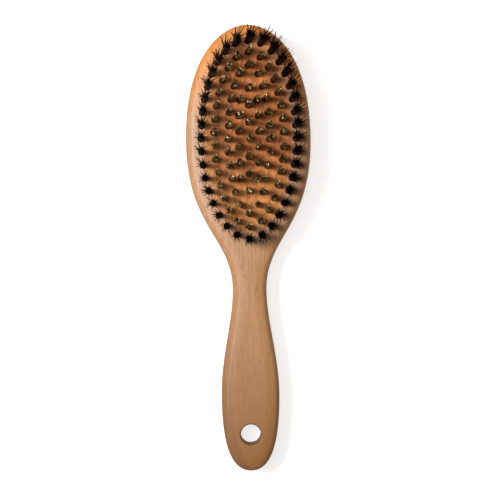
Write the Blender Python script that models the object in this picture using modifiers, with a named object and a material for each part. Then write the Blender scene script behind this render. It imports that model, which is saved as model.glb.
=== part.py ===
"""Wooden paddle brush with an oval head, laced tufts of black bristle and brass wire, and a flat handle.

The head and handle are a stock and a back cover, glued flat together. Every tuft sits in a stepped hole
of the stock: a wide hole from the front holds the tuft, and a narrow one lets the draw wire reach its
fold from behind. The draw wires lie in a shallow recess that the back cover closes.

Metres, +Z up. The brush lies on its back at z = 0, the head points to +Y and the handle to -Y.
"""
import math

import bmesh
import bpy
from mathutils import Matrix, Vector

# Overall sizes.
LENGTH = 0.222
COVER_THICKNESS = 0.0034
THICKNESS = 0.0145
GAP = 0.0003                # left between pieces that touch or are glued

# Right half of the outline, from the head's tip to the handle's end: half width, distance from the
# tip, and how far the curve's handles reach before and after the point.
OUTLINE = (
    (0.0000, 0.0000, 0.0117, 0.0117),
    (0.0311, 0.0574, 0.0443, 0.0437),
    (0.0084, 0.1320, 0.0263, 0.0154),
    (0.0144, 0.1837, 0.0178, 0.0264),
    (0.0000, 0.2220, 0.0096, 0.0096),
)
OUTLINE_STEPS = 12          # straight steps between two outline points
FRONT_ROUND = 0.0040
BACK_ROUND = 0.0028
ROUND_STEPS = 5
SMOOTH_ANGLE = math.radians(35)     # a sharper edge than this is shaded as an edge
WELD_DISTANCE = 0.00001

# Hanging hole, near the handle's end.
HANG_HOLE_RADIUS = 0.0050
HANG_HOLE_FROM_TIP = 0.2038
HANG_HOLE_FLARE = 0.0009
HANG_HOLE_SIDES = 20

# Tuft field: rings round one centre. A ring's shape is its half width, its half length, and an exponent
# for its end towards the tip and its end towards the handle: 2 for an ellipse, more for a blunter end.
FIELD_FROM_TIP = 0.0575
BRISTLE_RING = (0.0235, 0.0491, 2.1, 1.9)
BRISTLE_COUNT = 36
BRISTLE_RUNS = 4
BRASS_RINGS = (
    # name, shape, tufts, runs of draw wire
    ("outer", (0.0173, 0.0433, 2.0, 1.9), 30, 6),
    ("middle", (0.0103, 0.0367, 2.0, 1.85), 24, 4),
    ("inner", (0.0050, 0.0252, 3.0, 3.0), 14, 2),
)
RING_STEPS = 720            # straight steps that a ring's length is measured along
BRASS_ROW_COUNT = 5
BRASS_ROW_PITCH = 0.0085

# Tufts and their holes.
TUFT_SIDES = 6
TUFT_HOLE_DEPTH = 0.0070
LACING_HOLE_RADIUS = 0.00075
LACING_HOLE_SIDES = 4
BRISTLE_RADIUS = 0.00145
BRISTLE_TIP_RADIUS = 0.0027
BRISTLE_HEIGHT = 0.0145
BRISTLE_LEAN = 0.0007
BRASS_RADIUS = 0.0013
BRASS_TIP_RADIUS = 0.0017
BRASS_HEIGHT = 0.0120
HOLE_CLEARANCE = 0.0004

# Draw wires, in a recess that the back cover closes.
WIRE_RADIUS = 0.0004
STEM_RADIUS = 0.0003
RECESS_DEPTH = 0.0014
RECESS_MARGIN = 0.0022
RECESS_SIDES = 48

# Heights that follow from those sizes.
TIP_Y = LENGTH / 2
FIELD_Y = TIP_Y - FIELD_FROM_TIP
STOCK_BACK = COVER_THICKNESS + GAP
RECESS_CEILING = STOCK_BACK + RECESS_DEPTH
WIRE_Z = RECESS_CEILING - GAP - WIRE_RADIUS
HOLE_FLOOR = THICKNESS - TUFT_HOLE_DEPTH
TUFT_ROOT = HOLE_FLOOR + GAP


def clear_scene():
    """Remove every object, so the model starts from an empty scene."""
    for item in list(bpy.data.objects):
        bpy.data.objects.remove(item, do_unlink=True)


def new_collection(name):
    """A collection linked to the scene."""
    made = bpy.data.collections.new(name)
    bpy.context.scene.collection.children.link(made)
    return made


def new_material(name, colour, roughness, metallic=0.0):
    """A Principled material of one colour."""
    made = bpy.data.materials.new(name)
    made.use_nodes = True
    shader = made.node_tree.nodes["Principled BSDF"]
    shader.inputs["Base Color"].default_value = (*colour, 1.0)
    shader.inputs["Roughness"].default_value = roughness
    shader.inputs["Metallic"].default_value = metallic
    made.diffuse_color = (*colour, 1.0)
    return made


def new_object(name, mesh, collection, material=None):
    """An object for a mesh, smooth except at its sharp edges."""
    made = bpy.data.objects.new(name, mesh)
    collection.objects.link(made)
    if material and not mesh.materials:
        mesh.materials.append(material)
    mesh.shade_smooth()
    mesh.set_sharp_from_angle(angle=SMOOTH_ANGLE)
    return made


def mesh_from_bmesh(name, bm):
    """A mesh that takes over what a bmesh holds."""
    bmesh.ops.recalc_face_normals(bm, faces=bm.faces)
    mesh = bpy.data.meshes.new(name)
    bm.to_mesh(mesh)
    bm.free()
    return mesh


def mesh_from_curve(curve_object):
    """The welded mesh of a curve object, which is removed."""
    graph = bpy.context.evaluated_depsgraph_get()
    mesh = bpy.data.meshes.new_from_object(curve_object.evaluated_get(graph))
    mesh.name = curve_object.name
    mesh.materials.clear()
    curve = curve_object.data
    bpy.data.objects.remove(curve_object, do_unlink=True)
    bpy.data.curves.remove(curve)
    bm = bmesh.new()
    bm.from_mesh(mesh)
    bmesh.ops.remove_doubles(bm, verts=bm.verts, dist=WELD_DISTANCE)
    bm.to_mesh(mesh)
    bm.free()
    return mesh


def subtract(target, cutter):
    """Cut a cutter out of an object."""
    cutter.hide_render = True
    cutter.display_type = "WIRE"
    cut = target.modifiers.new("cut_" + cutter.name, "BOOLEAN")
    cut.operation = "DIFFERENCE"
    cut.solver = "EXACT"
    cut.object = cutter


def outline_spline(curve):
    """The brush's closed outline, mirrored from its right half, as one Bezier spline."""
    right = list(OUTLINE)
    left = [(-width, along, after, before) for width, along, before, after in reversed(OUTLINE[1:-1])]
    spline = curve.splines.new("BEZIER")
    spline.bezier_points.add(len(right) + len(left) - 1)
    spline.use_cyclic_u = True
    spline.resolution_u = OUTLINE_STEPS
    for point, (width, along, before, after) in zip(spline.bezier_points, right + left):
        on_axis = width == 0.0
        side = 1.0 if width > 0.0 or along == 0.0 else -1.0
        heading = Vector((side, 0.0, 0.0)) if on_axis else Vector((0.0, -side, 0.0))
        place = Vector((width, TIP_Y - along, 0.0))
        point.co = place
        point.handle_left = place - heading * before
        point.handle_right = place + heading * after


def board(name, low, high, rounding, rounded_z, collection, material):
    """A flat board of the brush's outline between two heights, rounded along one rim."""
    curve = bpy.data.curves.new(name, "CURVE")
    curve.dimensions = "2D"
    curve.fill_mode = "BOTH"
    curve.extrude = (high - low) / 2
    outline_spline(curve)
    outline = bpy.data.objects.new(name, curve)
    collection.objects.link(outline)
    mesh = mesh_from_curve(outline)
    mesh.transform(Matrix.Translation((0.0, 0.0, (low + high) / 2)))

    bm = bmesh.new()
    bm.from_mesh(mesh)
    bm.normal_update()
    for sign in (1.0, -1.0):
        cap = [face for face in bm.faces if face.normal.z * sign > math.cos(SMOOTH_ANGLE)]
        bmesh.ops.dissolve_faces(bm, faces=cap)
    weight = bm.edges.layers.float.new("bevel_weight_edge")
    for edge in bm.edges:
        on_rim = all(abs(vert.co.z - rounded_z) < GAP / 10 for vert in edge.verts)
        edge[weight] = 1.0 if on_rim else 0.0
    bm.to_mesh(mesh)
    bm.free()

    made = new_object(name, mesh, collection, material)
    bevel = made.modifiers.new("rounded_rim", "BEVEL")
    bevel.limit_method = "WEIGHT"
    bevel.width = rounding
    bevel.segments = ROUND_STEPS
    bevel.use_clamp_overlap = False
    return made


def signed_power(value, power):
    """A power of a value's size, with the value's sign."""
    return math.copysign(abs(value) ** power, value)


def ring_points(half_width, half_length, tip_exponent, handle_exponent, count):
    """Places spaced evenly along a ring round the field's centre, clockwise from the tip's side.

    Each is the place, and the angle of the ring's outward normal.
    """
    path = []
    for step in range(RING_STEPS + 1):
        turn = 2 * math.pi * step / RING_STEPS
        power = 2 / (tip_exponent if math.cos(turn) > 0.0 else handle_exponent)
        path.append(Vector((
            half_width * signed_power(math.sin(turn), power),
            half_length * signed_power(math.cos(turn), power),
        )))
    travelled = [0.0]
    for before, after in zip(path, path[1:]):
        travelled.append(travelled[-1] + (after - before).length)
    places = []
    step = 0
    for number in range(count):
        wanted = travelled[-1] * number / count
        while travelled[step + 1] < wanted:
            step += 1
        share = (wanted - travelled[step]) / (travelled[step + 1] - travelled[step])
        spot = path[step].lerp(path[step + 1], share)
        exponent = tip_exponent if spot.y > 0.0 else handle_exponent
        outward = math.atan2(
            signed_power(spot.y / half_length, exponent - 1) / half_length,
            signed_power(spot.x / half_width, exponent - 1) / half_width,
        )
        places.append((Vector((spot.x, FIELD_Y + spot.y, 0.0)), outward))
    return places


def row_points(count, pitch):
    """Places along the brush's middle, centred on the field."""
    middle = (count - 1) / 2
    return [(Vector((0.0, FIELD_Y + (middle - number) * pitch, 0.0)), 0.0) for number in range(count)]


def add_prism(bm, place, angle, sides, radii, heights):
    """Add an upright prism or cone, with its low and high radius and its low and high end."""
    low, high = heights
    middle = Vector((place.x, place.y, (low + high) / 2))
    matrix = Matrix.Translation(middle) @ Matrix.Rotation(angle, 4, "Z")
    return bmesh.ops.create_cone(
        bm,
        cap_ends=True,
        segments=sides,
        radius1=radii[0],
        radius2=radii[1],
        depth=high - low,
        matrix=matrix,
    )["verts"]


def hole_cutter(name, places, sides, radius, heights, collection):
    """One cutter that holds a prism at each place."""
    bm = bmesh.new()
    for place, angle in places:
        add_prism(bm, place, angle, sides, (radius, radius), heights)
    return new_object(name, mesh_from_bmesh(name, bm), collection)


def recess_cutter(collection):
    """The shallow oval recess in the stock's back, where the draw wires lie."""
    bm = bmesh.new()
    low = STOCK_BACK - RECESS_DEPTH
    add_prism(bm, Vector((0.0, 0.0, 0.0)), 0.0, RECESS_SIDES, (1.0, 1.0), (low, RECESS_CEILING))
    for vert in bm.verts:
        vert.co.x *= BRISTLE_RING[0] + RECESS_MARGIN
        vert.co.y = FIELD_Y + vert.co.y * (BRISTLE_RING[1] + RECESS_MARGIN)
    return new_object("wire_recess", mesh_from_bmesh("wire_recess", bm), collection)


def hang_hole_cutter(collection):
    """The hanging hole, which opens out a little at both faces, as a turned profile."""
    past = GAP
    wide = HANG_HOLE_RADIUS + HANG_HOLE_FLARE + past
    narrow = HANG_HOLE_RADIUS
    profile = (
        (0.0, THICKNESS + past),
        (wide, THICKNESS + past),
        (narrow, THICKNESS - HANG_HOLE_FLARE),
        (narrow, HANG_HOLE_FLARE),
        (wide, -past),
        (0.0, -past),
    )
    mesh = bpy.data.meshes.new("hang_hole")
    edges = [(number, number + 1) for number in range(len(profile) - 1)]
    mesh.from_pydata([(radius, 0.0, z) for radius, z in profile], edges, [])
    made = new_object("hang_hole", mesh, collection)
    made.location = (0.0, TIP_Y - HANG_HOLE_FROM_TIP, 0.0)
    turned = made.modifiers.new("turned", "SCREW")
    turned.axis = "Z"
    turned.steps = HANG_HOLE_SIDES
    turned.render_steps = HANG_HOLE_SIDES
    turned.use_merge_vertices = True
    turned.merge_threshold = WELD_DISTANCE
    return made


def wire_run(name, places, collection):
    """A length of draw wire that passes behind each place."""
    curve = bpy.data.curves.new(name, "CURVE")
    curve.dimensions = "3D"
    curve.bevel_depth = WIRE_RADIUS
    curve.bevel_resolution = 0
    curve.use_fill_caps = True
    ends = (places[0][0] - places[1][0]).normalized(), (places[-1][0] - places[-2][0]).normalized()
    path = [place for place, _ in places]
    path[0] = path[0] + ends[0] * 2 * WIRE_RADIUS
    path[-1] = path[-1] + ends[1] * 2 * WIRE_RADIUS
    spline = curve.splines.new("POLY")
    spline.points.add(len(path) - 1)
    for point, place in zip(spline.points, path):
        point.co = (place.x, place.y, WIRE_Z, 1.0)
    made = bpy.data.objects.new(name, curve)
    collection.objects.link(made)
    return mesh_from_curve(made)


def laced_run(name, places, parts, cutters, material, with_tufts):
    """A length of draw wire with a stem up to each fold, and the brass tufts it holds."""
    bm = bmesh.new()
    for place, angle in places:
        if with_tufts:
            verts = add_prism(
                bm, place, angle, TUFT_SIDES, (BRASS_RADIUS, BRASS_TIP_RADIUS),
                (TUFT_ROOT, THICKNESS + BRASS_HEIGHT),
            )
            root = [face for face in bm.faces if all(v in verts for v in face.verts)]
            root = [min(root, key=lambda face: face.calc_center_median().z)]
            bmesh.ops.inset_region(
                bm, faces=root, thickness=(BRASS_RADIUS - STEM_RADIUS) * math.cos(math.pi / TUFT_SIDES))
            grown = bmesh.ops.extrude_face_region(bm, geom=root)["geom"]
            bmesh.ops.delete(bm, geom=root, context="FACES_ONLY")
            for vert in (item for item in grown if isinstance(item, bmesh.types.BMVert)):
                vert.co.z = WIRE_Z
        else:
            add_prism(bm, place, angle, TUFT_SIDES, (STEM_RADIUS, STEM_RADIUS), (WIRE_Z, HOLE_FLOOR))
    stems = new_object(name + "_stems", mesh_from_bmesh(name + "_stems", bm), cutters)
    stems.hide_render = True
    stems.display_type = "WIRE"
    made = new_object(name, wire_run(name, places, cutters), parts, material)
    joined = made.modifiers.new("joined_to_stems", "BOOLEAN")
    joined.operation = "UNION"
    joined.solver = "EXACT"
    joined.object = stems
    return made


def bristle_tuft_mesh(material):
    """A black bristle tuft that widens and leans towards +X above the wood, with its root at the origin."""
    bm = bmesh.new()
    face_z = THICKNESS - TUFT_ROOT
    add_prism(bm, Vector((0.0, 0.0, 0.0)), 0.0, TUFT_SIDES, (BRISTLE_RADIUS, BRISTLE_RADIUS), (0.0, face_z))
    top = [max(bm.faces, key=lambda face: face.calc_center_median().z)]
    grown = bmesh.ops.extrude_face_region(bm, geom=top)["geom"]
    bmesh.ops.delete(bm, geom=top, context="FACES_ONLY")
    spread = BRISTLE_TIP_RADIUS / BRISTLE_RADIUS
    for vert in (item for item in grown if isinstance(item, bmesh.types.BMVert)):
        vert.co = Vector((
            vert.co.x * spread + BRISTLE_LEAN,
            vert.co.y * spread,
            face_z + BRISTLE_HEIGHT,
        ))
    mesh = mesh_from_bmesh("bristle_tuft", bm)
    mesh.materials.append(material)
    return mesh


def split_runs(places, runs):
    """Share places out over runs that follow each other."""
    size, extra = divmod(len(places), runs)
    shares = []
    start = 0
    for number in range(runs):
        end = start + size + (1 if number < extra else 0)
        shares.append(places[start:end])
        start = end
    return shares


def build():
    """Model the whole brush."""
    clear_scene()
    parts = new_collection("paddle_brush")
    cutters = new_collection("paddle_brush_cutters")
    beech = new_material("beech", (0.53, 0.30, 0.165), 0.45)
    bristle = new_material("black_bristle", (0.012, 0.011, 0.013), 0.4)
    brass = new_material("brass_wire", (0.36, 0.28, 0.13), 0.35, 1.0)

    bristle_places = ring_points(*BRISTLE_RING, BRISTLE_COUNT)
    brass_runs = {}
    for ring, shape, count, runs in BRASS_RINGS:
        places = ring_points(*shape, count)
        for number, share in enumerate(split_runs(places, runs), start=1):
            brass_runs[f"brass_{ring}_ring_{number}"] = share
    brass_runs["brass_middle_row"] = row_points(BRASS_ROW_COUNT, BRASS_ROW_PITCH)
    brass_places = [place for share in brass_runs.values() for place in share]

    stock = board("stock", STOCK_BACK, THICKNESS, FRONT_ROUND, THICKNESS, parts, beech)
    cover = board("back_cover", 0.0, COVER_THICKNESS, BACK_ROUND, 0.0, parts, beech)
    hang_hole = hang_hole_cutter(cutters)
    subtract(stock, recess_cutter(cutters))
    above = THICKNESS + GAP
    bristle_hole = BRISTLE_RADIUS + HOLE_CLEARANCE
    brass_hole = BRASS_RADIUS + HOLE_CLEARANCE
    for name, places, sides, radius, heights in (
        ("bristle_holes", bristle_places, TUFT_SIDES, bristle_hole, (HOLE_FLOOR, above)),
        ("brass_holes", brass_places, TUFT_SIDES, brass_hole, (HOLE_FLOOR, above)),
        ("lacing_holes", bristle_places + brass_places, LACING_HOLE_SIDES, LACING_HOLE_RADIUS,
         (RECESS_CEILING - GAP, HOLE_FLOOR + GAP)),
    ):
        subtract(stock, hole_cutter(name, places, sides, radius, heights, cutters))
    subtract(stock, hang_hole)
    subtract(cover, hang_hole)

    tuft_mesh = bristle_tuft_mesh(bristle)
    for number, (place, outward) in enumerate(bristle_places, start=1):
        tuft = new_object(f"bristle_tuft_{number:02d}", tuft_mesh, parts)
        tuft.location = (place.x, place.y, TUFT_ROOT)
        tuft.rotation_euler.z = outward
    for number, share in enumerate(split_runs(bristle_places, BRISTLE_RUNS), start=1):
        laced_run(f"bristle_draw_wire_{number}", share, parts, cutters, brass, with_tufts=False)
    for name, share in brass_runs.items():
        laced_run(name, share, parts, cutters, brass, with_tufts=True)


build()
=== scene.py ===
"""Looks of the wooden paddle brush: rounded beech stock and cover, black bristles, crimped brass wires."""
import math
import random

import bmesh
import bpy
from mathutils import Matrix, Vector
from mathutils.geometry import interpolate_bezier


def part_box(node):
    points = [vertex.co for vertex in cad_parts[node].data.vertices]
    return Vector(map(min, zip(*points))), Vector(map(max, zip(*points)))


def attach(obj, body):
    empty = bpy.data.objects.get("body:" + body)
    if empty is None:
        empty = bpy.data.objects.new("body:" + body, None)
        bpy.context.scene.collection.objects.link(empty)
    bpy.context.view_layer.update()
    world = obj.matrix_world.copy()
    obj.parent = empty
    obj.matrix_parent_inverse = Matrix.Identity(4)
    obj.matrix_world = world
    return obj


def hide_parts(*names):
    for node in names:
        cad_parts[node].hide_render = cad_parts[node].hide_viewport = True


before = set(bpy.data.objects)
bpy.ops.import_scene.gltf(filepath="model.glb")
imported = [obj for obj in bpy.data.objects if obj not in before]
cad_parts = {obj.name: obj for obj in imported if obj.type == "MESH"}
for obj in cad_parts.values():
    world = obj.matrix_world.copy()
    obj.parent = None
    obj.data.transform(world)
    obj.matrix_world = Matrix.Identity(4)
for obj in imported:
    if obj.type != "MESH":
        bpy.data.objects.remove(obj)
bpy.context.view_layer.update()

MM = 0.001

# The brush's outline, as the frame has it, from the head's tip to the handle's end: half width, distance
# from the tip, and how far the curve's handles reach before and after the point.
OUTLINE = (
    (0.0000, 0.0000, 0.0117, 0.0117),
    (0.0311, 0.0574, 0.0443, 0.0437),
    (0.0084, 0.1320, 0.0263, 0.0154),
    (0.0144, 0.1837, 0.0178, 0.0264),
    (0.0000, 0.2220, 0.0096, 0.0096),
)
OUTLINE_STEPS = 28
FRONT_ROUND = 3.5 * MM
FRONT_CROWN = 4.0 * MM            # the gentle fall of the face just inside its rounded rim
CROWN_TILT = math.radians(6.5)
BACK_ROUND = 2.8 * MM
ROUND_STEPS = 10
CROWN_STEPS = 5
SEAM_STEPS = 3
SEAM_GAP = 0.07 * MM
SEAM_SOFTENING = 0.18 * MM
WOOD_SHARP_ANGLE = math.radians(40)

HANG_HOLE_FROM_TIP = 203.8 * MM
HANG_HOLE_RADIUS = 5.0 * MM
HANG_HOLE_ROUND = 0.9 * MM
HANG_HOLE_SIDES = 56
HANG_HOLE_ROUND_STEPS = 6

BRISTLE_HOLE_RADIUS = 1.75 * MM
BRASS_HOLE_RADIUS = 1.65 * MM
HOLE_MOUTH = 0.22 * MM
HOLE_SIDES = 18
CUT_ABOVE_FACE = 1.0 * MM

TUFT_HOLE_DEPTH = 7.0 * MM
FOLD_CLEARANCE = 0.3 * MM         # under each tuft's fold
LACING_HOLE_RADIUS = 0.75 * MM
LACING_HOLE_SIDES = 8
RECESS_DEPTH = 1.4 * MM
RECESS_MARGIN = 2.2 * MM
RECESS_SIDES = 64
DRAW_WIRE_RADIUS = 0.32 * MM
DRAW_WIRE_SIDES = 6
DRAW_WIRE_SLIMNESS = 0.7          # the visible wire's radius as a share of the CAD wire's

BRISTLE_TUFTS = 36
LOCKS_PER_TUFT = 11
BRISTLES_PER_LOCK = 8
BRISTLES_IN_CORE = 70
STRAYS_PER_TUFT = 8
BRISTLE_STEPS = 6
BRISTLE_SIDES = 3
BRISTLE_RING_WIDTH = 44 * MM
BRISTLES_BENT_BY_USE = Vector((2.1 * MM, 1.9 * MM, 0.0))

BRASS_TUFTS = 73
WIRES_PER_TUFT = 54
WIRE_STEPS = 14
WIRE_SIDES = 4
BRASS_TUFT_HALF_SIZE = (1.10 * MM, 1.35 * MM)
WIRES_BENT_BY_USE = Vector((1.4 * MM, 0.5 * MM, 0.0))

WORN_FROM = 0.20                  # shares of the way from the middle of the brush to the head's tip
WORN_UP_TO = 0.90
HELD_DEPTH = 0.5 * MM             # below the face, where a fibre is still held by its hole
LEVEL = 0.1 * MM                  # points of a CAD solid this near in height lie on one level
# Points of one tuft lie nearer to each other than this. So does one point of a next tuft in
# brass_outer_ring_2, and it is counted with the wrong one: two tufts stand up to 0.7 mm out of place.
TUFT_REACH = 4 * MM
FIBRE_SHARP_ANGLE = math.radians(70)

FLOOR_HALF_SIDE = 8.0
FLOOR_SQUARES = 8
FLOOR_FLAT = 7.0                  # beyond this the floor turns up into a pale backdrop
BACKDROP_HEIGHT = 1.2
FLOOR_DROP = 0.05 * MM            # keeps the floor just clear of the brush's back

# Places that follow from the frame
STOCK_LOW, STOCK_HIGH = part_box("stock")
COVER_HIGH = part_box("back_cover")[1]
TIP_Y = STOCK_HIGH.y
FACE_Z = STOCK_HIGH.z
SEAM_Z = (STOCK_LOW.z + COVER_HIGH.z) / 2
RECESS_CEILING = STOCK_LOW.z + RECESS_DEPTH
TUFT_ROOT = FACE_Z - TUFT_HOLE_DEPTH + FOLD_CLEARANCE
HANG_HOLE = Vector((0.0, TIP_Y - HANG_HOLE_FROM_TIP, 0.0))


# ---------------------------------------------------------------- materials

class Nodes:
    """Short calls for building one material's node tree."""

    def __init__(self, name):
        self.material = bpy.data.materials.new(name)
        self.material.use_nodes = True
        self.tree = self.material.node_tree
        self.shader = self.tree.nodes["Principled BSDF"]
        coordinates = self.add("ShaderNodeTexCoord")
        self.place = coordinates.outputs["Object"]
        self.normal = coordinates.outputs["Normal"]

    def add(self, kind, **settings):
        node = self.tree.nodes.new(kind)
        for name, value in settings.items():
            setattr(node, name, value)
        return node

    def link(self, source, target):
        self.tree.links.new(source, target)

    def feed(self, socket, value):
        """Set a socket to a value, or link it to an output."""
        if isinstance(value, bpy.types.NodeSocket):
            self.link(value, socket)
        else:
            socket.default_value = value

    def stretched(self, sizes):
        """Object coordinates counted in cells of the given sizes in metres."""
        node = self.add("ShaderNodeMapping")
        node.inputs["Scale"].default_value = [1.0 / size for size in sizes]
        self.link(self.place, node.inputs["Vector"])
        return node.outputs["Vector"]

    def noise(self, sizes, detail=2.0, roughness=0.5, distortion=0.0):
        node = self.add("ShaderNodeTexNoise")
        node.inputs["Scale"].default_value = 1.0
        node.inputs["Detail"].default_value = detail
        node.inputs["Roughness"].default_value = roughness
        node.inputs["Distortion"].default_value = distortion
        self.link(self.stretched(sizes), node.inputs["Vector"])
        return node.outputs["Fac"]

    def cells(self, sizes):
        """Distance to the nearest of many scattered points, one a cell."""
        node = self.add("ShaderNodeTexVoronoi")
        node.inputs["Scale"].default_value = 1.0
        self.link(self.stretched(sizes), node.inputs["Vector"])
        return node.outputs["Distance"]

    def span(self, value, low, high, to_low=0.0, to_high=1.0):
        """A value's range mapped onto another, without overshoot."""
        node = self.add("ShaderNodeMapRange", interpolation_type="SMOOTHSTEP")
        self.link(value, node.inputs["Value"])
        node.inputs["From Min"].default_value = low
        node.inputs["From Max"].default_value = high
        node.inputs["To Min"].default_value = to_low
        node.inputs["To Max"].default_value = to_high
        return node.outputs["Result"]

    def maths(self, operation, first, second):
        node = self.add("ShaderNodeMath", operation=operation)
        self.feed(node.inputs[0], first)
        self.feed(node.inputs[1], second)
        return node.outputs["Value"]

    def mix(self, share, first, second, blend="MIX"):
        """Two colours, mixed by a share."""
        node = self.add("ShaderNodeMix", data_type="RGBA", blend_type=blend)
        self.feed(node.inputs["Factor"], share)
        for socket, colour in ((node.inputs[6], first), (node.inputs[7], second)):
            self.feed(socket, colour if isinstance(colour, bpy.types.NodeSocket) else (*colour, 1.0))
        return node.outputs[2]

    def part_of(self, vector, name):
        node = self.add("ShaderNodeSeparateXYZ")
        self.link(vector, node.inputs["Vector"])
        return node.outputs[name]

    def axis(self, name):
        """One of the object coordinates."""
        return self.part_of(self.place, name)

    def normal_axis(self, name):
        """How much a surface faces along one axis."""
        return self.part_of(self.normal, name)

    def facing(self):
        """How nearly a surface faces up or down: 1 on the faces, falling to 0 on the sides."""
        upright = self.normal_axis("Z")
        return self.maths("MULTIPLY", upright, upright)

    def bump(self, height, distance, strength=1.0):
        node = self.add("ShaderNodeBump")
        node.inputs["Strength"].default_value = strength
        node.inputs["Distance"].default_value = distance
        self.link(height, node.inputs["Height"])
        self.link(node.outputs["Normal"], self.shader.inputs["Normal"])

    def set(self, **values):
        """Set the shader's sockets by short names, to a number, a colour or an output."""
        names = {"colour": "Base Color", "roughness": "Roughness", "metallic": "Metallic",
                 "specular": "Specular IOR Level"}
        for name, value in values.items():
            if isinstance(value, tuple):
                value = (*value, 1.0)
            self.feed(self.shader.inputs[names[name]], value)


def beech_material(name, inside=None):
    """Satin beech: long soft grain, short brown ray flecks, fine pores; paler on the head, partly a painted
    sheen, and deeper towards the handle's end, partly painted shade where the light falls off.

    The tip is amber. The rims are painted a little darker, as shade where they turn from the face, and the
    handle's left side is painted darker, as shade. inside gives the share of the wood that belongs to the
    tuft field, whose colour is painted shade and bounced light, blotched, and which is less glossy.
    """
    n = Nodes(name)
    along = n.axis("Y")
    bands = n.noise((7 * MM, 160 * MM, 7 * MM), 2.0, 0.5, 0.6)
    streaks = n.noise((0.9 * MM, 34 * MM, 0.9 * MM), 3.0, 0.6)
    dashes = n.noise((0.45 * MM, 6 * MM, 0.45 * MM), 2.0, 0.5)
    fibres = n.noise((0.16 * MM, 5 * MM, 0.16 * MM), 2.0, 0.6)
    flecks = n.span(n.cells((0.75 * MM, 3.6 * MM, 0.75 * MM)), 0.10, 0.30, 1.0, 0.0)
    patches = n.noise((4 * MM, 22 * MM, 4 * MM), 2.0)
    flecks = n.maths("MULTIPLY", flecks, n.span(patches, 0.42, 0.62))

    pale = (0.450, 0.249, 0.127)
    middling = (0.432, 0.224, 0.096)
    warm = (0.248, 0.107, 0.028)
    amber = (0.720, 0.250, 0.032)
    deep = (0.250, 0.096, 0.026)
    fleck = (0.205, 0.080, 0.026)
    # Painted light: the pale head is partly a painted sheen, and the warm, deeper handle's end is partly
    # painted shade where the light falls off.
    colour = n.mix(n.span(along, 35 * MM, -22 * MM), pale, middling)
    colour = n.mix(n.span(along, -25 * MM, -114 * MM), colour, warm)
    colour = n.mix(n.span(along, 55 * MM, 100 * MM, 0.0, 0.9), colour, amber)
    for tone, low, high, most in (
        (bands, 0.35, 0.70, 0.22),
        (streaks, 0.40, 0.75, 0.38),
        (dashes, 0.52, 0.70, 0.48),
        (fibres, 0.45, 0.80, 0.18),
    ):
        colour = n.mix(n.span(tone, low, high, 0.0, most), colour, deep)
    colour = n.mix(n.maths("MULTIPLY", flecks, 0.70), colour, fleck)

    rim_roughness = n.span(n.facing(), 0.985, 0.93, 0.0, 0.34)
    roughness = n.maths("ADD", n.span(streaks, 0.3, 0.7, 0.32, 0.42), rim_roughness)
    if inside:
        roughness = n.maths("ADD", roughness, n.maths("MULTIPLY", inside(n), 0.30))
        # Painted shade and bounced light: the tuft field's colour.
        colour = n.mix(inside(n), colour, tuft_field_shade_colour(n, along))
    # Painted shade: the rims darken as they turn away from the flat face.
    colour = n.mix(n.span(n.facing(), 0.97, 0.30, 0.0, 0.9), colour, (0.83, 0.75, 0.61), "MULTIPLY")
    # Painted shade: the handle's left side, towards the key lamp, is darkened.
    left_side = n.span(n.normal_axis("X"), -0.01, -0.09)
    left_side_shade = n.maths("MULTIPLY", left_side, n.span(along, 0.0, -98 * MM))
    colour = n.mix(left_side_shade, colour, (0.78, 0.75, 0.67), "MULTIPLY")
    n.set(colour=colour, roughness=roughness, specular=0.5)
    n.bump(n.maths("SUBTRACT", n.maths("MULTIPLY", fibres, 0.5), flecks), 0.03 * MM, 0.5)
    return n.material


def tuft_field_shade_colour(n, along):
    """The wood between the tufts: painted shade and warm bounced light from the tufts, painted lighter at its
    left towards the lamp, and blotched all over with painted light and shade.
    """
    colour = n.mix(n.span(along, 14 * MM, 56 * MM), (0.600, 0.212, 0.038), (0.420, 0.106, 0.003))
    # Painted light: the field's left, towards the lamp, is lighter.
    lighter = n.span(n.axis("X"), -18 * MM, -4 * MM, 0.35, 0.0)
    colour = n.mix(lighter, colour, (0.640, 0.290, 0.100))
    light_and_shade_blotches = n.noise((1.5 * MM, 4 * MM, 1.5 * MM), 3.0, 0.6)
    colour = n.mix(n.span(light_and_shade_blotches, 0.50, 0.66, 0.0, 0.4), colour, (0.720, 0.345, 0.115))
    return n.mix(n.span(light_and_shade_blotches, 0.50, 0.34, 0.0, 0.6), colour, (0.230, 0.060, 0.006))


def tuft_field_share(n):
    """1 inside the oval of the tufts and 0 outside it, with a soft edge."""
    low, high = field_box()
    middle = (low + high) / 2
    half = (high - low) / 2
    across = n.maths("DIVIDE", n.maths("SUBTRACT", n.axis("X"), middle.x), half.x)
    along = n.maths("DIVIDE", n.maths("SUBTRACT", n.axis("Y"), middle.y), half.y)
    square = n.maths("ADD", n.maths("MULTIPLY", across, across), n.maths("MULTIPLY", along, along))
    return n.span(square, 0.74, 1.04, 0.95, 0.0)


def bristle_material():
    """Black bristle, some of it dark brown, with a soft gloss along its length."""
    n = Nodes("black_bristle")
    tone = n.noise((0.5 * MM, 0.5 * MM, 6 * MM), 2.0)
    n.set(
        colour=n.mix(n.span(tone, 0.60, 0.82), (0.002, 0.002, 0.004), (0.009, 0.007, 0.006)),
        roughness=n.span(tone, 0.3, 0.7, 0.36, 0.52),
        specular=0.17,
    )
    return n.material


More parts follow.
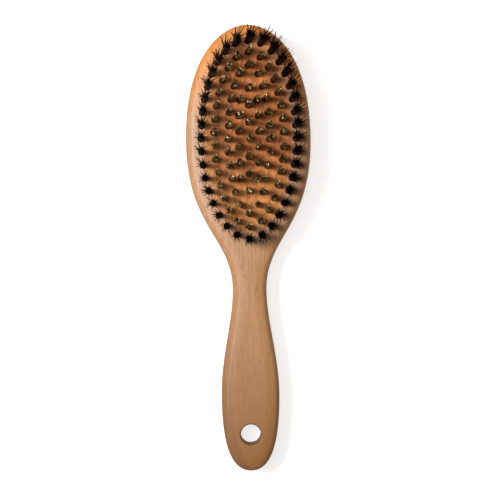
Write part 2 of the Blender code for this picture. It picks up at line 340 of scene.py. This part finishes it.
def brass_material(cut_z):
    """Fine brass wire, dulled to dark olive down its length, and bright near the cut top: partly fresh metal,
    partly a painted highlight.
    """
    n = Nodes("brass_wire")
    dull = n.noise((0.5 * MM, 0.5 * MM, 1.6 * MM), 3.0, 0.6)
    # Painted highlight: the wires are brighter near the tuft's cut top, partly as fresh-cut metal.
    cut = n.span(n.axis("Z"), cut_z - 0.7 * MM, cut_z - 0.1 * MM)
    shaft = n.mix(n.span(dull, 0.36, 0.60), (0.37, 0.240, 0.050), (0.130, 0.078, 0.013))
    tone = n.noise((4 * MM, 4 * MM, 90 * MM), 1.0)
    shaft = n.mix(n.span(tone, 0.40, 0.62, 0.0, 0.6), shaft, (0.070, 0.042, 0.008))
    n.set(
        colour=n.mix(n.maths("MULTIPLY", cut, 0.75), shaft, (0.66, 0.55, 0.27)),
        roughness=n.span(dull, 0.3, 0.7, 0.26, 0.44),
        metallic=1.0,
    )
    return n.material


def floor_material():
    """White translucent studio acrylic, softly lit from below, with the faintest tooth."""
    n = Nodes("studio_acrylic")
    tooth = n.noise((1.5 * MM, 1.5 * MM, 1.5 * MM), 2.0)
    n.set(colour=n.mix(tooth, (0.35, 0.35, 0.35), (0.37, 0.37, 0.37)), roughness=0.9)
    n.shader.inputs["Emission Color"].default_value = (1.0, 1.0, 1.0, 1.0)
    n.shader.inputs["Emission Strength"].default_value = 0.77
    return n.material


# ---------------------------------------------------------------- wood

def new_object(name, mesh, material=None):
    """An object in the scene for a mesh."""
    made = bpy.data.objects.new(name, mesh)
    bpy.context.scene.collection.objects.link(made)
    if material:
        mesh.materials.append(material)
    return made


def outline_points():
    """The brush's closed outline, clockwise from the head's tip, mirrored from its right half."""
    right = list(OUTLINE)
    left = [(-width, along, after, before) for width, along, before, after in reversed(OUTLINE[1:-1])]
    stations = []
    for width, along, before, after in right + left:
        side = 1.0 if width > 0.0 or along == 0.0 else -1.0
        heading = Vector((side, 0.0)) if width == 0.0 else Vector((0.0, -side))
        place = Vector((width, TIP_Y - along))
        stations.append((place, place - heading * before, place + heading * after))
    points = []
    for number, (place, _, reach_out) in enumerate(stations):
        following, reach_in, _ = stations[(number + 1) % len(stations)]
        points += interpolate_bezier(place, reach_out, reach_in, following, OUTLINE_STEPS + 1)[:-1]
    return points


def quarter_round(face, radius, steps, inwards):
    """A plain rounded rim: how far in and how high each step is, from the flat face to the side."""
    turns = [math.pi / 2 * step / steps for step in range(steps + 1)]
    return [(radius * (1 - math.sin(turn)), face + inwards * radius * (1 - math.cos(turn))) for turn in turns]


def crowned_round(face):
    """The front's rim: the face first falls away gently, then turns over into the side."""
    long_radius = FRONT_CROWN / math.sin(CROWN_TILT)
    rim = FRONT_ROUND * (1 - math.sin(CROWN_TILT))
    profile = []
    for step in range(CROWN_STEPS):
        turn = CROWN_TILT * step / CROWN_STEPS
        profile.append((rim + FRONT_CROWN - long_radius * math.sin(turn),
                        face - long_radius * (1 - math.cos(turn))))
    shoulder = face - long_radius * (1 - math.cos(CROWN_TILT))
    for step in range(ROUND_STEPS + 1):
        turn = CROWN_TILT + (math.pi / 2 - CROWN_TILT) * step / ROUND_STEPS
        profile.append((FRONT_ROUND * (1 - math.sin(turn)),
                        shoulder - FRONT_ROUND * (math.cos(CROWN_TILT) - math.cos(turn))))
    return profile


def board_mesh(name, profile):
    """A board of the brush's outline, whose rim follows a profile from its top face to its underside."""
    outline = outline_points()
    count = len(outline)
    outward = []
    for number in range(count):
        along = (outline[(number + 1) % count] - outline[number - 1]).normalized()
        outward.append(Vector((-along.y, along.x)))
    verts, faces = [], []
    for inset, height in profile:
        for point, out in zip(outline, outward):
            spot = point - out * inset
            verts.append((spot.x, spot.y, height))
    for ring in range(len(profile) - 1):
        high = ring * count
        low = high + count
        for number in range(count):
            after = (number + 1) % count
            faces.append((high + number, high + after, low + after, low + number))
    faces.append(tuple(reversed(range(count))))
    faces.append(tuple(range((len(profile) - 1) * count, len(profile) * count)))
    mesh = bpy.data.meshes.new(name)
    mesh.from_pydata(verts, [], faces)
    return mesh


def prism_cutter(name, places, sides, radii, heights):
    """One hidden cutter with an upright prism or cone at each place."""
    bm = bmesh.new()
    for place in places:
        middle = Vector((place.x, place.y, (heights[0] + heights[1]) / 2))
        bmesh.ops.create_cone(
            bm,
            cap_ends=True,
            segments=sides,
            radius1=radii[0],
            radius2=radii[1],
            depth=heights[1] - heights[0],
            matrix=Matrix.Translation(middle),
        )
    mesh = bpy.data.meshes.new(name)
    bm.to_mesh(mesh)
    bm.free()
    return new_object(name, mesh)


def recess_cutter():
    """The shallow oval recess behind the tufts, where the draw wires lie."""
    low, high = field_box()
    middle = (low + high) / 2
    made = prism_cutter("wire_recess", [Vector((0.0, 0.0, 0.0))], RECESS_SIDES, (1.0, 1.0),
                        (STOCK_LOW.z - RECESS_DEPTH, RECESS_CEILING))
    for vert in made.data.vertices:
        vert.co.x = middle.x + vert.co.x * ((high.x - low.x) / 2 + RECESS_MARGIN)
        vert.co.y = middle.y + vert.co.y * ((high.y - low.y) / 2 + RECESS_MARGIN)
    return made


def hang_hole_cutter():
    """The hanging hole with rounded rims: a turned profile whose ends flare like a trumpet."""
    turns = [math.pi / 2 * step / HANG_HOLE_ROUND_STEPS for step in range(HANG_HOLE_ROUND_STEPS + 1)]
    profile = [(0.0, FACE_Z + HANG_HOLE_ROUND)]
    for end, sign in ((FACE_Z, 1.0), (0.0, -1.0)):
        arc = [
            (HANG_HOLE_RADIUS + HANG_HOLE_ROUND * (1 - math.cos(turn)),
             end - sign * HANG_HOLE_ROUND * (1 - math.sin(turn)))
            for turn in turns
        ]
        rim = [(arc[-1][0], end + sign * HANG_HOLE_ROUND)]
        profile += rim + arc[::-1] if sign > 0 else arc + rim
    profile.append((0.0, -HANG_HOLE_ROUND))
    mesh = bpy.data.meshes.new("hang_hole_cutter")
    edges = [(number, number + 1) for number in range(len(profile) - 1)]
    mesh.from_pydata([(radius, 0.0, z) for radius, z in profile], edges, [])
    made = new_object("hang_hole_cutter", mesh)
    made.location = HANG_HOLE
    turned = made.modifiers.new("turned", "SCREW")
    turned.steps = turned.render_steps = HANG_HOLE_SIDES
    turned.use_merge_vertices = True
    turned.merge_threshold = 0.005 * MM
    return made


def add_board(node, profile, cutters, material):
    """Add a finished board in place of its CAD node."""
    made = new_object("beech_" + node, board_mesh(node, profile), material)
    for cutter in cutters:
        cut = made.modifiers.new(cutter.name, "BOOLEAN")
        cut.operation = "DIFFERENCE"
        cut.solver = "EXACT"
        cut.object = cutter
    finished(made)
    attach(made, "root")
    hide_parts(node)


def finished(item):
    """Apply an object's modifiers, and shade it smooth with its flat faces kept flat."""
    graph = bpy.context.evaluated_depsgraph_get()
    mesh = bpy.data.meshes.new_from_object(item.evaluated_get(graph))
    item.modifiers.clear()
    item.data = mesh
    mesh.shade_smooth()
    mesh.set_sharp_from_angle(angle=WOOD_SHARP_ANGLE)
    weighted = item.modifiers.new("flat_faces_stay_flat", "WEIGHTED_NORMAL")
    weighted.keep_sharp = True
    weighted.weight = 80


# ---------------------------------------------------------------- tufts

def field_box():
    """Lowest and highest corner of the bristle ring's roots."""
    middles = [tuft_axis(name)[0] for name in bristle_nodes()]
    low = Vector([min(place[i] for place in middles) for i in range(3)])
    high = Vector([max(place[i] for place in middles) for i in range(3)])
    return low, high


def bristle_nodes():
    return sorted(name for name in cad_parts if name.startswith("bristle_tuft"))


def brass_nodes():
    return sorted(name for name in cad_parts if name.startswith("brass_"))


def middle_of(points):
    return sum(points, Vector()) / len(points)


def cad_points(node):
    return [vert.co.copy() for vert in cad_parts[node].data.vertices]


def tuft_axis(node):
    """The middle of a bristle tuft's root and of its tip, from its CAD solid."""
    points = cad_points(node)
    low = min(point.z for point in points)
    high = max(point.z for point in points)
    root = middle_of([point for point in points if point.z < low + LEVEL])
    tip = middle_of([point for point in points if point.z > high - LEVEL])
    return root, tip


def laced_places(node):
    """The middles of the tufts that a brass node holds, in order along its draw wire."""
    points = cad_points(node)
    high = max(point.z for point in points)
    tops = [point for point in points if point.z > high - LEVEL]
    groups = []
    for point in tops:
        near = next((group for group in groups if (group[0] - point).length < TUFT_REACH), None)
        if near is None:
            groups.append([point])
        else:
            near.append(point)
    middles = []
    for group in groups:
        corners = {tuple(round(value, 6) for value in point): point for point in group}
        middles.append(middle_of(list(corners.values())))
    return middles


def add_tube(verts, faces, path, radii, sides, cut=0.0):
    """Add a thin closed tube along a path to lists of vertices and faces, its end cut off at a slant."""
    start = len(verts)
    across = None
    for number, (point, radius) in enumerate(zip(path, radii)):
        before = path[max(number - 1, 0)]
        after = path[min(number + 1, len(path) - 1)]
        along = (after - before).normalized()
        if across is None:
            across = along.orthogonal().normalized()
        across = (across - along * across.dot(along)).normalized()
        beside = along.cross(across)
        for side in range(sides):
            turn = 2 * math.pi * side / sides
            spot = point + (across * math.cos(turn) + beside * math.sin(turn)) * radius
            if number == len(path) - 1:
                spot += along * cut * math.cos(turn)
            verts.append(tuple(spot))
    for ring in range(len(path) - 1):
        low = start + ring * sides
        for side in range(sides):
            after = (side + 1) % sides
            faces.append((low + side, low + after, low + sides + after, low + sides + side))
    faces.append(tuple(start + side for side in reversed(range(sides))))
    end = start + (len(path) - 1) * sides
    faces.append(tuple(end + side for side in range(sides)))


def add_fibres(name, verts, faces, material, node):
    """Add all the fibres of a piece as one object, riding on the brush in place of its CAD node."""
    mesh = bpy.data.meshes.new(name)
    mesh.from_pydata(verts, [], faces)
    mesh.shade_smooth()
    mesh.set_sharp_from_angle(angle=FIBRE_SHARP_ANGLE)
    made = new_object(name, mesh, material)
    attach(made, "root")
    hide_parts(node)


def spot_in_disc(dice, half_x, half_y):
    """A random spot in an oval."""
    reach = math.sqrt(dice.random())
    turn = dice.uniform(0.0, 2 * math.pi)
    return Vector((reach * math.cos(turn) * half_x, reach * math.sin(turn) * half_y, 0.0))


def wear(place):
    """How much use has bent the tufts at a place: 0 low on the head, rising to 1 at the head's tip."""
    share = (place.y / TIP_Y - WORN_FROM) / (WORN_UP_TO - WORN_FROM)
    return min(max(share, 0.0), 1.0)


def bristle_path(base, seat, lean, spread, length, bend):
    """A bristle from its fold up through the wood's face, bending outwards towards its tip."""
    path = [base + seat]
    mouth = Vector((base.x, base.y, FACE_Z - HELD_DEPTH))
    for step in range(BRISTLE_STEPS + 1):
        t = step / BRISTLE_STEPS
        path.append(mouth + seat * (1.0 - t * t) + lean * t ** 1.3 + spread * t ** bend
                    + Vector((0.0, 0.0, (length + HELD_DEPTH) * t)))
    return path


def add_bristle_tuft(node, material):
    """Add a splayed tuft: a dense core, locks of bristles that gather into spikes round it, and strays.

    The tufts that use has bent, and those at the right, are fuller than the ones low at the left.
    """
    dice = random.Random(node)
    root, tip = tuft_axis(node)
    worn = wear(root)
    bent = BRISTLES_BENT_BY_USE * worn
    lean = Vector((tip.x - root.x, tip.y - root.y, 0.0)) + bent
    height = tip.z - FACE_Z
    fuller = max(worn, min(max(0.5 + root.x / BRISTLE_RING_WIDTH, 0.0), 1.0))
    hole = (1.05 + 0.35 * fuller) * MM
    least, most = 0.55 + 0.45 * fuller, 1.45 + 0.95 * fuller
    bristles = []
    for _ in range(BRISTLES_IN_CORE):
        seat = spot_in_disc(dice, hole, hole)
        spread = Vector((seat.x * 0.9, seat.y * 1.25, 0.0)) * dice.uniform(least, most)
        bristles.append((seat, spread, dice.uniform(0.86, 1.01), dice.uniform(1.2, 2.2)))
    first = dice.uniform(0.0, 2 * math.pi)
    for lock in range(LOCKS_PER_TUFT):
        turn = first + 2 * math.pi * (lock + dice.uniform(-0.3, 0.3)) / LOCKS_PER_TUFT
        heading = Vector((math.cos(turn), math.sin(turn), 0.0))
        longer = 1.0 + 0.15 * abs(heading.y) + worn * (0.10 + 0.45 * heading.y)
        reach = dice.uniform(2.3, 3.7) * longer * MM
        level = dice.uniform(0.84, 0.99)
        bend = dice.uniform(2.0, 3.4)
        for _ in range(BRISTLES_PER_LOCK):
            seat = heading * dice.uniform(0.1, 0.8) * MM + spot_in_disc(dice, 0.55 * MM, 0.55 * MM)
            share = dice.uniform(0.72, 1.0)
            spread = heading * reach * share + spot_in_disc(dice, 0.20 * MM, 0.20 * MM)
            bristles.append((seat, spread, level * dice.uniform(0.97, 1.02), bend))
    for _ in range(STRAYS_PER_TUFT):
        seat = spot_in_disc(dice, hole, hole)
        spread = spot_in_disc(dice, 4.2 * MM, 4.2 * MM) + bent * 0.7
        bristles.append((seat, spread, dice.uniform(0.93, 1.03), dice.uniform(1.8, 3.0)))
    verts, faces = [], []
    for seat, spread, level, bend in bristles:
        thick = dice.uniform(0.12, 0.17) * MM
        path = bristle_path(root, seat, lean, spread, height * level, bend)
        radii = [thick * (1.0 - 0.55 * (number / (len(path) - 1)) ** 3) for number in range(len(path))]
        add_tube(verts, faces, path, radii, BRISTLE_SIDES)
    add_fibres("black_" + node, verts, faces, material, node)


def crimped_tuft(dice, place, cut_z, verts, faces):
    """Add a tight oval tuft of crimped wires, cut level at the top, to lists of vertices and faces."""
    lean = WIRES_BENT_BY_USE * wear(place)
    for _ in range(WIRES_PER_TUFT):
        seat = spot_in_disc(dice, *BRASS_TUFT_HALF_SIZE)
        spread = Vector((seat.x * 0.34, seat.y * 0.50, 0.0)) * dice.uniform(0.6, 1.4)
        wave = dice.uniform(0.09, 0.16) * MM
        pitch = dice.uniform(2.0, 2.6) * MM
        phase = dice.uniform(0.0, 2 * math.pi)
        swing = dice.uniform(0.0, math.pi)
        sideways = Vector((math.cos(swing), math.sin(swing), 0.0))
        top = cut_z + dice.uniform(-0.55, 0.05) * MM
        thick = dice.uniform(0.12, 0.155) * MM
        path = [Vector((place.x, place.y, TUFT_ROOT)) + seat]
        for step in range(WIRE_STEPS + 1):
            t = step / WIRE_STEPS
            z = FACE_Z - HELD_DEPTH + (top - FACE_Z + HELD_DEPTH) * t
            path.append(Vector((place.x, place.y, z)) + seat + (spread + lean) * t
                        + sideways * wave * math.sin(2 * math.pi * z / pitch + phase))
        add_tube(verts, faces, path, [thick] * len(path), WIRE_SIDES, dice.uniform(-1.0, 1.0) * thick)


def draw_wire_path(places, wire_z):
    """A draw wire behind a run of tufts, which rises through each narrow hole and loops through the fold."""
    path = []
    for number, place in enumerate(places):
        before = places[max(number - 1, 0)]
        after = places[min(number + 1, len(places) - 1)]
        heading = Vector((after.x - before.x, after.y - before.y, 0.0)).normalized()
        rising = [(-0.40, wire_z), (-0.24, wire_z + 0.5 * MM), (-0.22, TUFT_ROOT - 0.2 * MM)]
        falling = [(-along, height) for along, height in reversed(rising)]
        for along, height in rising + [(0.0, TUFT_ROOT + 0.35 * MM)] + falling:
            path.append(Vector((place.x, place.y, height)) + heading * along * MM)
    return path


def add_brass_run(node, material):
    """Add the crimped tufts of one run, and the draw wire that laces them behind."""
    dice = random.Random(node)
    low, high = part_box(node)
    places = laced_places(node)
    verts, faces = [], []
    for place in places:
        crimped_tuft(dice, place, high.z, verts, faces)
    path = draw_wire_path(places, low.z + DRAW_WIRE_RADIUS)
    add_tube(verts, faces, path, [DRAW_WIRE_RADIUS * DRAW_WIRE_SLIMNESS] * len(path), DRAW_WIRE_SIDES)
    add_fibres(node.replace("brass_", "brass_wires_"), verts, faces, material, node)


# ---------------------------------------------------------------- studio

def studio():
    """Pale floor, a soft key light from the left, a weaker one overhead for the gloss, and warm fill."""
    bm = bmesh.new()
    bmesh.ops.create_grid(bm, x_segments=FLOOR_SQUARES, y_segments=FLOOR_SQUARES, size=FLOOR_HALF_SIDE)
    for vert in bm.verts:
        if max(abs(vert.co.x), abs(vert.co.y)) > FLOOR_FLAT:
            vert.co.z = BACKDROP_HEIGHT
    mesh = bpy.data.meshes.new("studio_floor")
    bm.to_mesh(mesh)
    bm.free()
    floor = new_object("studio_floor", mesh, floor_material())
    floor.location.z = -FLOOR_DROP

    world = bpy.data.worlds.new("studio_world")
    bpy.context.scene.world = world
    world.use_nodes = True
    background = world.node_tree.nodes["Background"]
    background.inputs["Color"].default_value = (1.0, 0.70, 0.42, 1.0)
    background.inputs["Strength"].default_value = 0.14

    middle = Vector((0.0, 0.0, 0.01))
    for name, place, size, power, tint in (
        ("key", (-0.46, 0.11, 0.69), 0.28, 8.25, (1.0, 1.0, 1.0)),
        ("gloss", (-0.16, 0.05, 0.86), 0.30, 1.65, (0.96, 0.98, 1.02)),
    ):
        data = bpy.data.lights.new(name, "AREA")
        data.shape = "DISK"
        data.size = size
        data.energy = power
        data.color = tint
        lamp = bpy.data.objects.new(name, data)
        bpy.context.scene.collection.objects.link(lamp)
        lamp.location = place
        lamp.rotation_euler = (middle - Vector(place)).to_track_quat("-Z", "Y").to_euler()

    view = bpy.context.scene.view_settings
    view.view_transform = "Standard"
    view.look = "None"


def camera():
    """Looking almost straight down, with the head's tip at the top."""
    distance = 0.880
    seen_width = 0.250
    target = Vector((0.0004, -0.0012, FACE_Z / 2))
    tilt = math.radians(0.7)
    roll = math.radians(0.5)
    data = bpy.data.cameras.new("camera")
    data.sensor_width = 36.0
    data.lens = data.sensor_width * distance / seen_width
    made = bpy.data.objects.new("camera", data)
    bpy.context.scene.collection.objects.link(made)
    turn = Matrix.Rotation(-tilt, 4, "Y") @ Matrix.Rotation(-roll, 4, "Z")
    made.matrix_world = Matrix.Translation(target) @ turn @ Matrix.Translation((0.0, 0.0, distance))
    bpy.context.scene.camera = made


def build_brush():
    """Make every visible piece of the brush."""
    beech = beech_material("beech_front", tuft_field_share)
    beech_back = beech_material("beech_back")
    bristle = bristle_material()
    bristle_places = [tuft_axis(node)[0] for node in bristle_nodes()]
    brass_places = [place for node in brass_nodes() for place in laced_places(node)]
    assert (len(bristle_places), len(brass_places)) == (BRISTLE_TUFTS, BRASS_TUFTS)

    hang_hole = hang_hole_cutter()
    cutters = [hang_hole]
    hole_floor = FACE_Z - TUFT_HOLE_DEPTH
    for name, places, radius in (
        ("bristle_holes", bristle_places, BRISTLE_HOLE_RADIUS),
        ("brass_holes", brass_places, BRASS_HOLE_RADIUS),
    ):
        cutters.append(prism_cutter(name, places, HOLE_SIDES,
                                    (radius, radius), (hole_floor, FACE_Z + CUT_ABOVE_FACE)))
        cutters.append(prism_cutter(name + "_mouths", places, HOLE_SIDES,
                                    (radius - HOLE_MOUTH, radius + HOLE_MOUTH),
                                    (FACE_Z - HOLE_MOUTH, FACE_Z + HOLE_MOUTH)))
    cutters.append(recess_cutter())
    cutters.append(prism_cutter("lacing_holes", bristle_places + brass_places, LACING_HOLE_SIDES,
                                (LACING_HOLE_RADIUS, LACING_HOLE_RADIUS),
                                (RECESS_CEILING - FOLD_CLEARANCE, hole_floor + FOLD_CLEARANCE)))
    stock_low = quarter_round(SEAM_Z + SEAM_GAP / 2, SEAM_SOFTENING, SEAM_STEPS, 1.0)
    cover_high = quarter_round(SEAM_Z - SEAM_GAP / 2, SEAM_SOFTENING, SEAM_STEPS, -1.0)
    cover_low = quarter_round(0.0, BACK_ROUND, ROUND_STEPS, 1.0)
    add_board("stock", crowned_round(FACE_Z) + stock_low[::-1], cutters, beech)
    add_board("back_cover", cover_high + cover_low[::-1], [hang_hole], beech_back)
    for cutter in cutters:
        bpy.data.objects.remove(cutter, do_unlink=True)

    for node in bristle_nodes():
        add_bristle_tuft(node, bristle)
    brass = brass_material(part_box("brass_middle_row")[1].z)
    for node in brass_nodes():
        add_brass_run(node, brass)
    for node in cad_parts:
        if node.startswith("bristle_draw_wire"):
            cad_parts[node].data.materials.clear()
            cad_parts[node].data.materials.append(brass)


build_brush()
studio()
camera()
